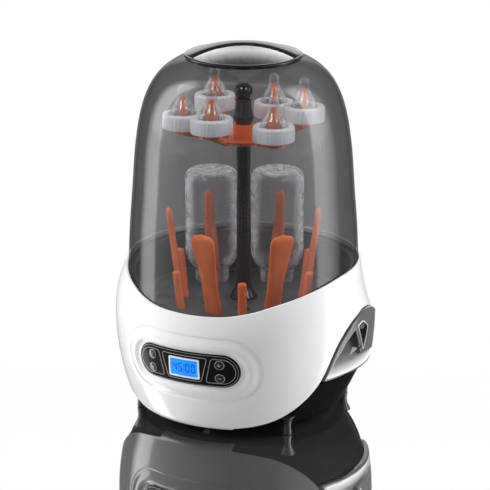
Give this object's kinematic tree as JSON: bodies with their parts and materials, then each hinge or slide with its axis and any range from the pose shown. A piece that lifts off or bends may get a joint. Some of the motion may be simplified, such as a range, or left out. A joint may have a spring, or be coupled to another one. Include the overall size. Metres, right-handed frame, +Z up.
{
  "type": "bottle sterilizer",
  "caption": "Countertop steam sterilizer and dryer for baby bottles: white bulged base with control panel, tall smoked dome lid with top handle, inner rack and accessory tray.",
  "frame": {"origin": "on the floor at the centre of the round body", "axes": "+Z up, -Y towards the control panel side (front), +X to the right seen from the front"},
  "size_m": [0.2788, 0.2736, 0.387],
  "materials": {
    "white_plastic": "glossy",
    "grip_grey": "glossy",
    "black_plastic": "glossy",
    "dark_plastic": "satin",
    "rubber": "matte",
    "screw_steel": "brushed",
    "display_clear": "polished",
    "display_blue": "polished",
    "board_green": "satin",
    "switch_black": "matte",
    "steel": "brushed",
    "ceramic_fuse": "matte",
    "motor_steel": "satin",
    "heater_alloy": "satin",
    "filter_fibre": "matte",
    "wire_cover": "satin",
    "orange_plastic": "satin",
    "bottle_clear": "polished",
    "collar_white": "satin",
    "teat_silicone": "satin",
    "smoked_clear": "polished",
    "seal_rubber": "matte"
  },
  "bodies": {
    "base": {"base_shell": "white_plastic", "side_grip_left": "grip_grey", "side_grip_right": "grip_grey", "chassis": "black_plastic", "chassis_screws": "screw_steel", "feet": "rubber", "panel_bezel": "black_plastic", "display_window": "display_clear", "display_module": "display_blue", "control_board": "board_green", "tact_switches": "switch_black", "chamber_deck": "dark_plastic", "heating_plate": "steel", "heating_element": "steel", "thermostat": "steel", "thermal_fuse": "ceramic_fuse", "temperature_sensor": "steel", "fan_housing": "black_plastic", "fan_motor": "motor_steel", "air_heater": "heater_alloy", "air_duct": "black_plastic", "air_filter": "filter_fibre", "power_inlet": "black_plastic", "power_board": "board_green", "wiring_loom": "wire_cover"},
    "rack": {"bottle_rack": "dark_plastic", "broad_prongs": "orange_plastic", "tall_prongs": "orange_plastic", "short_pegs": "orange_plastic", "bottles": "bottle_clear"},
    "tray": {"centre_column": "black_plastic", "column_knob": "black_plastic", "accessory_tray": "orange_plastic", "tray_prongs": "orange_plastic", "collars": "collar_white", "teats": "teat_silicone"},
    "lid": {"lid_dome": "smoked_clear", "lid_seal": "seal_rubber", "handle_cup": "smoked_clear", "lid_handle": "black_plastic"},
    "fan": {"fan_rotor": "dark_plastic"},
    "filter": {"filter_cover": "white_plastic"},
    "power_key": {"button_power": "black_plastic"},
    "mode_key": {"button_mode": "black_plastic"},
    "plus_key": {"button_plus": "black_plastic"},
    "minus_key": {"button_minus": "black_plastic"}
  },
  "joints": [
    {"name": "rack_lift", "type": "slide", "parent": "base", "child": "rack", "axis": [0, 0, 1], "range_m": [0, 0.12]},
    {"name": "tray_lift", "type": "slide", "parent": "rack", "child": "tray", "axis": [0, 0, 1], "range_m": [0, 0.13]},
    {"name": "lid_lift", "type": "slide", "parent": "tray", "child": "lid", "axis": [0, 0, 1], "range_m": [0, 0.24]},
    {"name": "fan_spin", "type": "hinge", "parent": "base", "child": "fan", "pos_m": [0, 0.058, 0.04], "axis": [0, 0, 1], "continuous": true},
    {"name": "filter_pull", "type": "slide", "parent": "base", "child": "filter", "axis": [0, 1, 0], "range_m": [0, 0.03]},
    {"name": "power_press", "type": "slide", "parent": "base", "child": "power_key", "axis": [0, 1, 0], "range_m": [0, 0.001], "stiffness_N_per_m": 400, "springref_m": -0.001},
    {"name": "mode_press", "type": "slide", "parent": "base", "child": "mode_key", "axis": [0, 1, 0], "range_m": [0, 0.001], "stiffness_N_per_m": 400, "springref_m": -0.001},
    {"name": "plus_press", "type": "slide", "parent": "base", "child": "plus_key", "axis": [0, 1, 0], "range_m": [0, 0.001], "stiffness_N_per_m": 400, "springref_m": -0.001},
    {"name": "minus_press", "type": "slide", "parent": "base", "child": "minus_key", "axis": [0, 1, 0], "range_m": [0, 0.001], "stiffness_N_per_m": 400, "springref_m": -0.001}
  ]
}
